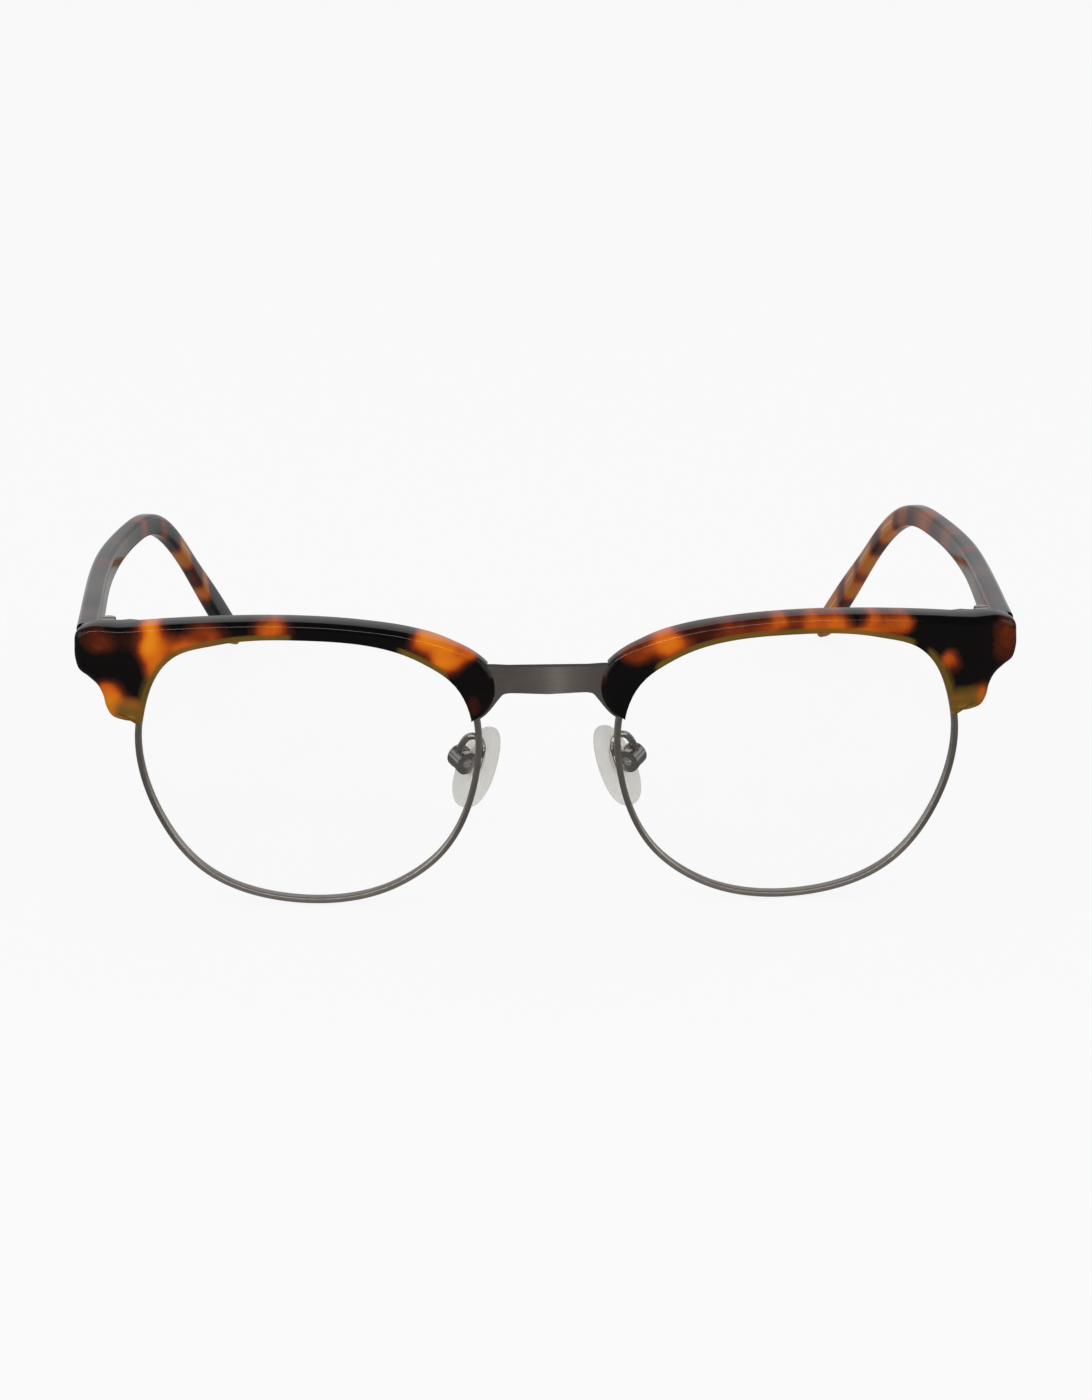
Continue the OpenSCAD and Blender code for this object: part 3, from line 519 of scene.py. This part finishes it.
def solid_object(name, rings):
    """A closed shell skinned over rings of equally many points, with flat ends."""
    n, m = len(rings), len(rings[0])
    faces = [(i * m + k, i * m + (k + 1) % m, (i + 1) * m + (k + 1) % m, (i + 1) * m + k)
             for i in range(n - 1) for k in range(m)]
    faces += [tuple(range(m)), tuple(range((n - 1) * m, n * m))]
    mesh = bpy.data.meshes.new(name)
    mesh.from_pydata([p for ring in rings for p in ring], [], faces)
    shell = bmesh.new()
    shell.from_mesh(mesh)
    bmesh.ops.remove_doubles(shell, verts=shell.verts, dist=1e-7)
    bmesh.ops.recalc_face_normals(shell, faces=shell.faces)
    shell.to_mesh(mesh)
    shell.free()
    obj = bpy.data.objects.new(name, mesh)
    scene.collection.objects.link(obj)
    return obj


def smooth_faces(obj, limit=radians(38)):
    obj.data.shade_smooth()
    obj.data.set_sharp_from_angle(angle=limit)


def cut_away(obj, cutters):
    """Cuts closed solids out of an object and deletes them."""
    for cutter in cutters:
        modifier = obj.modifiers.new("cut", "BOOLEAN")
        modifier.operation, modifier.solver, modifier.object = "DIFFERENCE", "EXACT", cutter
    keep_result(obj)
    for cutter in cutters:
        bpy.data.objects.remove(cutter)


def box_on_half(side, u0, u1, y0, y1, v0, v1):
    """A box in the flat frame of one half, as a cutter."""
    return solid_object("cutter", [[on_front(u, y, v, side) for u, v in ((u0, v0), (u1, v0), (u1, v1), (u0, v1))]
                                   for y in (y0, y1)])


def back_of_brow(u, v):
    """Depth of the brow's back: a layer of the sphere that thins to the nose, or the thick outer end."""
    layer = min(sag(u, v) + BROW_BACK - NASAL_THINNING * ease((LENS_U - 17 - u) / 9), BLOCK_BACK)
    share = limited((u - BLOCK_U + 0.3) / 0.5) * limited((v - BLOCK_V + 0.3) / 0.5)
    return blend_to(layer, BLOCK_BACK, share)


# The outer edge, and the inner edge along the lens opening from the nasal end to the outer end
outer_line = smooth_line([(LENS_U + q[0], LENS_V + q[1]) for q in BROW_POINTS], BROW_STEPS, False)
nasal_end = min(range(5 * LENS_STEPS, 6 * LENS_STEPS), key=lambda i: abs(opening[i].y - LENS_V - NASAL_END_V))
outer_end = min(range(LENS_STEPS), key=lambda i: abs(opening[i].y - LENS_V - OUTER_END_V))
inner_line = beside_line(opening, -LIP_OVER)[outer_end:nasal_end + 1][::-1]
inner_heads = beside_line(inner_line, -1.0, closed=False)
outer_heads = beside_line(outer_line, 1.0, closed=False)
FINE = 6
inner_fine = [inner_line[i // FINE].lerp(inner_line[min(i // FINE + 1, len(inner_line) - 1)], i % FINE / FINE)
              for i in range(FINE * (len(inner_line) - 1) + 1)]
# Each point of the outer edge gets its partner across the brow, and the partners are then evened out
EVENING_PASSES = 14
partners, last = [], 0
for q in outer_line:
    last = max(last, min(range(last, len(inner_fine)), key=lambda i: (inner_fine[i] - q).length))
    partners.append(last)
partners[-1] = len(inner_fine) - 1
for _ in range(EVENING_PASSES):
    partners = [partners[0]] + [(partners[i - 1] + 2 * partners[i] + partners[i + 1]) / 4
                                for i in range(1, len(partners) - 1)] + [partners[-1]]


def brow_section(i):
    """One section of the brow at station i: flat places and depths, round from the lip over the front."""
    o, o_in = outer_line[i], outer_heads[i] - outer_line[i]
    at = partners[i] / FINE
    a = min(int(at), len(inner_line) - 2)
    n = inner_line[a].lerp(inner_line[a + 1], at - a)
    n_in = inner_heads[a].lerp(inner_heads[a + 1], at - a) - n
    width = (o - n).length
    k = min(1, width / FULL_WIDTH)
    lip_front, bevel_in = n + n_in * 0.28 * k, o + o_in * BEVEL_W * k
    ring = [(n, BROW_FRONT + 0.4), (n + n_in * 0.07 * k, BROW_FRONT + 0.14), (lip_front, BROW_FRONT)]
    ring += [(lip_front + n_in * d * k, BROW_FRONT) for d in (0.25, 0.45, 0.65)]
    flat_start = lip_front + n_in * 0.65 * k
    ring += [(flat_start.lerp(bevel_in, j / 13), BROW_FRONT) for j in range(1, 13)]
    for share in (1, 0.88, 0.76, 0.64, 0.52, 0.4, 0.28, 0.16, 0.06):
        ring.append((o + o_in * share * BEVEL_W * k, BROW_FRONT + BEVEL_D * (1 - share) ** BEVEL_CURVE))
    ring += [(o + o_in * 0.015, BROW_FRONT + BEVEL_D + 0.09), (o, BROW_FRONT + BEVEL_D + 0.25)]
    points = [(q, sag(q.x, q.y) + depth) for q, depth in ring]
    rebate = n + n_in * min(REBATE + LIP_OVER, 0.72 * width)
    back_in = o + o_in * 0.35 * k
    points += [(o, back_of_brow(o.x, o.y) - 0.4), (o + o_in * 0.1 * k, back_of_brow(o.x, o.y) - 0.1)]
    for j in range(11):
        q = back_in.lerp(rebate, j / 10)
        points.append((q, back_of_brow(q.x, q.y)))
    points += [(rebate, sag(rebate.x, rebate.y) + LIP_BACK), (n, sag(n.x, n.y) + LIP_BACK)]
    return points


def mixed_colour(tree, factor, a, b):
    return add_node(tree, "ShaderNodeMix", {"Factor": factor, 6: a, 7: b}, data_type="RGBA").outputs[2]


acetate, tree, shader = new_material("tortoise_acetate")
shader.inputs["IOR"].default_value = 1.36
coords = object_place(tree)
tone, thin, core_side = (add_node(tree, "ShaderNodeAttribute", attribute_name=name).outputs["Fac"]
                         for name in ("tone", "thin", "core_side"))
swirl = maths(tree, "MULTIPLY_ADD", noise_value(tree, coords, 330.0, 3.0, Distortion=0.6), 0.2, -0.1)
grain = maths(tree, "MULTIPLY_ADD", noise_value(tree, coords, 1500.0, 3.0), 0.05, -0.025)
toned = maths(tree, "ADD", tone, maths(tree, "ADD", swirl, grain), clamp=True)
ramp = add_node(tree, "ShaderNodeValToRGB", {"Fac": toned})
# Colours of the sheet by tone: black, dark red, orange-red, orange, amber
STOPS = ((0.0, (0.0022, 0.0018, 0.0016)), (0.2, (0.0035, 0.0022, 0.0018)), (0.34, (0.07, 0.011, 0.0035)),
         (0.48, (0.26, 0.036, 0.004)), (0.66, (0.68, 0.12, 0.005)), (0.84, (0.88, 0.225, 0.005)),
         (1.0, (0.92, 0.34, 0.014)))
while len(ramp.color_ramp.elements) < len(STOPS):
    ramp.color_ramp.elements.new(0.5)
for element, (position, colour) in zip(ramp.color_ramp.elements, STOPS):
    element.position, element.color = position, colour + (1,)
# Where the acetate is thin its colour turns olive: painted light shining through it from behind, beside the real
# transmission set below
PAINTED_BACKLIGHT_OLIVE, WIRE_COLOUR = (0.33, 0.195, 0.03, 1), (0.6, 0.5, 0.26, 1)
tone_with_painted_backlight = mixed_colour(tree, maths(tree, "MULTIPLY", thin, 0.9), ramp.outputs["Color"], PAINTED_BACKLIGHT_OLIVE)
# The wire core shows through the amber as a thin line; core_side is 10 there, and 0 on the brows
CORE_LEVEL = 10.0
from_core = maths(tree, "ABSOLUTE", maths(tree, "SUBTRACT", core_side, CORE_LEVEL))
wire_line = maths(tree, "MULTIPLY", smooth_range(tree, from_core, 0.12, 0.3, 0.7, 0.0),
                  smooth_range(tree, tone, 0.45, 0.75))
tree.links.new(mixed_colour(tree, wire_line, tone_with_painted_backlight, WIRE_COLOUR), shader.inputs["Base Color"])
tree.links.new(maths(tree, "MULTIPLY", thin, 0.5), shader.inputs["Transmission Weight"])
polish = noise_value(tree, coords, 700.0, 5.0)
tree.links.new(maths(tree, "MULTIPLY_ADD", polish, 0.07, 0.045), shader.inputs["Roughness"])
ripple = add_node(tree, "ShaderNodeBump", {"Height": polish, "Strength": 0.06, "Distance": 0.00005})
tree.links.new(ripple.outputs["Normal"], shader.inputs["Normal"])

lip_edge = kdtree.KDTree(len(inner_fine))
for i, q in enumerate(inner_fine):
    lip_edge.insert((q.x, q.y, 0), i)
lip_edge.balance()
for side, word in ((RIGHT, "right"), (LEFT, "left")):
    sections = [brow_section(i) for i in range(len(outer_line))]
    brow = solid_object("brow_bar_" + word, [[on_front(q.x, depth, q.y, side) for q, depth in ring]
                                             for ring in sections])
    cutters = [box_on_half(side, *pocket) for pocket in POCKETS]
    cutters.append(solid_object("cutter", [[tilted(x, y, z, side) for x, y in WING] for z in WING_Z]))
    cut_away(brow, cutters)
    smooth_faces(brow)
    places = [place_on_half(vertex.co, side) for vertex in brow.data.vertices]
    thins = []
    for u, v in places:
        from_edge = lip_edge.find((u + LENS_U, v + LENS_V, 0))[2]
        lip = limited((LIP_LINE - from_edge) / LIP_LINE_FADE)
        lip *= max(ease((u - low) / 1.2) * ease((high - u) / 1.2) for low, high in LIP_SPANS[side])
        tip = limited((TIP_V - v) / TIP_FADE) * (1 - 0.7 * ease((u - TIP_EDGE_U) / 1.6)) * (1 if u > 0 else 0)
        # The lip and the tip take the olive of painted light shining through, and some real transmission
        thins.append(max(0.85 * lip, tip))
    set_attribute(brow.data, "tone", [tone_of_brow(u, v, side) for u, v in places])
    set_attribute(brow.data, "thin", thins)
    brow.data.materials.clear()
    brow.data.materials.append(acetate)
    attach(brow, "front")
    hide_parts("brow_" + word)

# End plates: the front leaf of each hinge, let into the pocket of the brow and held by two screws,
# with three barrels that carry the steel hinge screw. Blanked from nickel silver and plated.
plate_metal = gunmetal("hinge_gunmetal", (0.3, 0.275, 0.255), 0.3, (700, 700, 700), 0.2)
dress_nodes(plate_metal, "end_plate_right", "end_plate_left")
dress_nodes(screw_steel, "end_plate_screws", "hinge_screw_right", "hinge_screw_left")

# Temples: the same acetate, pressed over a heated wire core, bent down behind the ear and bowed in
# towards the head. Edges are rounded and polished, and the tip widens into a paddle.
TEMPLE_L, TEMPLE_START = 145.1, (68.4, 4.8, 40.402)
# Fall of the temple's line in degrees at its front and its tip, and where along it the change lies
SLOPE_FRONT, SLOPE_TIP, BEND_FROM, BEND_TO = 4.206, 49.8, 84.6, 120.3
# The same for its turn towards the head
SPLAY_FRONT, SPLAY_TIP, BOW_FROM, BOW_TO = -2.75, 15.4, 30.7, 123.4
EDGE_R, TIP_R, STATIONS = 0.85, 5.6, 150
# Height and thickness by share of the length
HEIGHTS = ((0, 5.7), (0.12, 5.2), (0.35, 4.1), (0.55, 3.6), (0.8, 3.6), (0.92, 5.2), (1, 5.2))
THICKNESSES = ((0, 3.2), (0.4, 3.2), (0.75, 2.9), (1, 2.9))
# Bands of tone along the temple: place from the hinge, half length, tone
BANDS = {RIGHT: ((12, 4, 0.3), (30, 5, 0.32), (52, 5, 0.36), (70, 4, 0.34), (88, 3, 0.42), (101, 2.6, 0.4),
                 (113.5, 3.2, 0.72), (119.6, 1.2, 0.3), (124.4, 2.0, 0.62), (145, 5, 0.8)),
         LEFT: ((16, 6, 0.32), (36, 5, 0.36), (54, 4, 0.4), (70, 5, 0.42), (86, 6, 0.5), (98, 3, 0.44),
                (106.6, 3.4, 0.76), (118.2, 3.0, 0.78), (126.0, 2.4, 0.74), (137, 4.4, 0.84), (145, 4, 0.5))}


def table_value(table, x):
    """A value eased between the rows of a table."""
    for (x0, y0), (x1, y1) in zip(table, table[1:]):
        if x <= x1:
            return y0 + (y1 - y0) * ease((x - x0) / (x1 - x0))
    return table[-1][1]


def headings(s):
    """Fall and turn of the temple's line at s from its front, in radians."""
    slope = radians(SLOPE_FRONT + (SLOPE_TIP - SLOPE_FRONT) * ease((s - BEND_FROM) / (BEND_TO - BEND_FROM)))
    splay = radians(SPLAY_FRONT + (SPLAY_TIP - SPLAY_FRONT) * ease((s - BOW_FROM) / (BOW_TO - BOW_FROM)))
    return slope, splay


for side, word in ((RIGHT, "right"), (LEFT, "left")):
    rings, marks = [], []
    spot = Vector(TEMPLE_START)
    step = TEMPLE_L / STATIONS
    for i in range(STATIONS + 1):
        s = i * step
        slope, splay = headings(s)
        across = Vector((cos(splay), sin(splay) / cos(slope), 0)).normalized()
        upward = Vector((0, sin(slope), cos(slope)))
        tip = sqrt(max(0.02, 1 - max(0, (s - TEMPLE_L + TIP_R) / TIP_R) ** 2))
        h = table_value(HEIGHTS, s / TEMPLE_L) / 2 * tip
        t = table_value(THICKNESSES, s / TEMPLE_L) / 2 * (0.35 + 0.65 * tip)
        r = min(EDGE_R, h * 0.9, t * 0.9)
        ring = []
        for corner in range(4):
            for j in range(6):
                angle = pi / 2 * (corner + j / 5)
                a = (t - r) * (1 if corner in (0, 3) else -1) + r * cos(angle)
                b = (h - r) * (1 if corner in (0, 1) else -1) + r * sin(angle)
                q = spot + across * a + upward * b
                ring.append(Vector((side * q.x, q.y - MID_DEPTH, q.z)) * MM)
                marks.append((s, a, b))
        rings.append(ring)
        slope, splay = headings(s + step / 2)
        spot = spot + step * Vector((-sin(splay), cos(splay) * cos(slope), -cos(splay) * sin(slope)))
    temple = solid_object("temple_bar_" + word, rings)
    tones, thins, lines = [], [], []
    for s, a, b in marks:
        along = s + 0.35 * b - 0.3 * a
        value = 0.1 + 0.2 * max(0.0, noise.noise(Vector((s * 0.2, a * 0.12, b * 0.12 + 20.0 * side))))
        for place, half, target in BANDS[side]:
            value = blend_to(value, target, 1 / (1 + abs((along - place) / half) ** 3.2))
        tones.append(value)
        # Amber parts and the last 6 mm of the tip take the olive of painted light shining through them, and some real
        # transmission
        thins.append(0.55 * limited((value - 0.4) / 0.3) + 0.3 * limited((s - TEMPLE_L + 6) / 3))
        lines.append(CORE_LEVEL + b)
    set_attribute(temple.data, "tone", tones)
    set_attribute(temple.data, "thin", thins)
    set_attribute(temple.data, "core_side", lines)
    cut_away(temple, [box_on_half(side, HINGE_U - 15, HINGE_U + 20, -20, BLOCK_BACK + 0.3, -10, 80)])
    smooth_faces(temple)
    temple.data.materials.clear()
    temple.data.materials.append(acetate)
    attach(temple, "temple_%s_arm" % word)
    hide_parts("temple_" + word)

# Wire cores, hinge leaves and rivets: a bright drawn wire inside each temple, and the rear leaf of the
# hinge let into the temple's inner face, with two barrels and four rivets.
core_metal = gunmetal("bright_core", (0.72, 0.64, 0.42), 0.22, (400, 60, 400), 0.1)
dress_nodes(core_metal, "core_wire_right", "core_wire_left")
dress_nodes(plate_metal, "temple_hinge_right", "temple_hinge_left")
dress_nodes(screw_steel, "temple_rivets_right", "temple_rivets_left")

# Nose pads: soft clear silicone, moulded round an insert, teardrop-shaped with full round edges.
# Each hangs by its lug on a tiny screw in the box of its arm, and rocks there.
PAD_L, PAD_W, PAD_T, PAD_EDGE = 13.6, 7.4, 2.4, 1.05
PAD_LEAN, PAD_TURN = radians(22), radians(32)
PAD_U, PAD_Y, PAD_V = 10.6, 8.6, LENS_V - 2.9
PAD_RINGS, PAD_SIDES = 17, 48


def on_pad(x, y, z, side):
    """A point of a nose pad: x away from the nose, z up along the pad."""
    x, y = x * cos(PAD_TURN) + y * sin(PAD_TURN), y * cos(PAD_TURN) - x * sin(PAD_TURN)
    x, z = x * cos(PAD_LEAN) - z * sin(PAD_LEAN), z * cos(PAD_LEAN) + x * sin(PAD_LEAN)
    return tilted(x + PAD_U, y + PAD_Y, z + PAD_V, side)


silicone, tree, shader = new_material("clear_silicone")
shader.inputs["IOR"].default_value = 1.4
shader.inputs["Transmission Weight"].default_value = 0.3
shader.inputs["Alpha"].default_value = 0.52
flow = add_node(tree, "ShaderNodeMapping", {"Vector": object_place(tree), "Scale": (900, 500, 160)}).outputs[0]
milk = noise_value(tree, flow, 1.0, 3.0, Distortion=0.8)
tint = mixed_colour(tree, milk, (0.9, 0.88, 0.78, 1), (0.99, 0.98, 0.92, 1))
tree.links.new(tint, shader.inputs["Base Color"])
tree.links.new(maths(tree, "MULTIPLY_ADD", milk, 0.2, 0.12), shader.inputs["Roughness"])

for side, word in ((RIGHT, "right"), (LEFT, "left")):
    rings = []
    for j in range(PAD_RINGS):
        angle = pi * (j + 0.35) / (PAD_RINGS - 0.3)
        x = -cos(angle) * PAD_T / 2
        inset = PAD_EDGE * (1 - sin(angle) ** 0.75)
        half_w, half_l = PAD_W / 2 - inset, PAD_L / 2 - inset
        rings.append([on_pad(x, half_w * cos(a) * (1 - 0.14 * sin(a)), half_l * sin(a), side)
                      for a in (2 * pi * k / PAD_SIDES for k in range(PAD_SIDES))])
    pad = solid_object("soft_pad_" + word, rings)
    smooth_faces(pad, radians(60))
    pad.data.materials.append(silicone)
    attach(pad, "pad_" + word)
    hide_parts("nose_pad_" + word)

# Pad arms, inserts and screws: the arm is a wire soldered to the rim, looped, with a round slotted box at
# its end; the insert is a clear hard plastic, and the screw is a small bright one.
arm_metal = gunmetal("arm_gunmetal", (0.4, 0.37, 0.35), 0.16, (500, 500, 500), 0.1)
dress_nodes(arm_metal, "pad_arm_right", "pad_arm_left")
pale_screw = gunmetal("pale_screw", (0.8, 0.78, 0.74), 0.2, (300, 300, 300), 0.1)
dress_nodes(pale_screw, "pad_screw_right", "pad_screw_left")
hard_clear = silicone.copy()
hard_clear.name = "insert_plastic"
dress_nodes(hard_clear, "pad_insert_right", "pad_insert_left")

bpy.context.view_layer.update()
